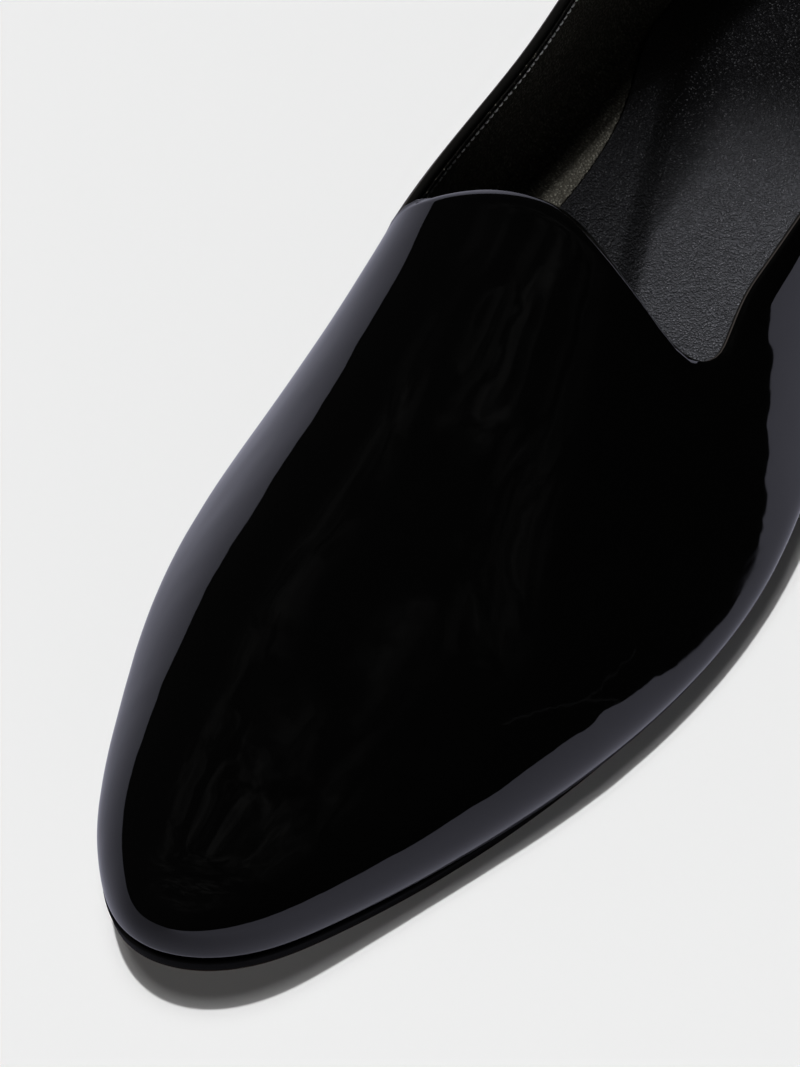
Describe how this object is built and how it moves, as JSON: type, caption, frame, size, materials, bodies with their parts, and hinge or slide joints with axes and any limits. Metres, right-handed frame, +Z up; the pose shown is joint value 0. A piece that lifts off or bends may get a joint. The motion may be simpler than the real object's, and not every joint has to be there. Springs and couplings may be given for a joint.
{
  "type": "patent leather loafer",
  "caption": "Left slip-on loafer in glossy patent leather with a plain pointed vamp, a raised tongue edge, an open collar, a thin flat outsole and a low block heel.",
  "frame": {"origin": "on the floor under the middle of the whole shoe's box", "axes": "+Z up, +Y from the toe to the heel, +X towards the lateral side"},
  "size_m": [0.0936, 0.2726, 0.0616],
  "materials": {
    "upper": "black patent, mirror gloss",
    "outsole": "black edge stain, satin",
    "heel": "black, satin",
    "insole": "dark grey, fine grained satin"
  },
  "bodies": {
    "root": {"upper": "upper", "outsole": "outsole", "heel": "heel", "insole": "insole"}
  },
  "joints": []
}
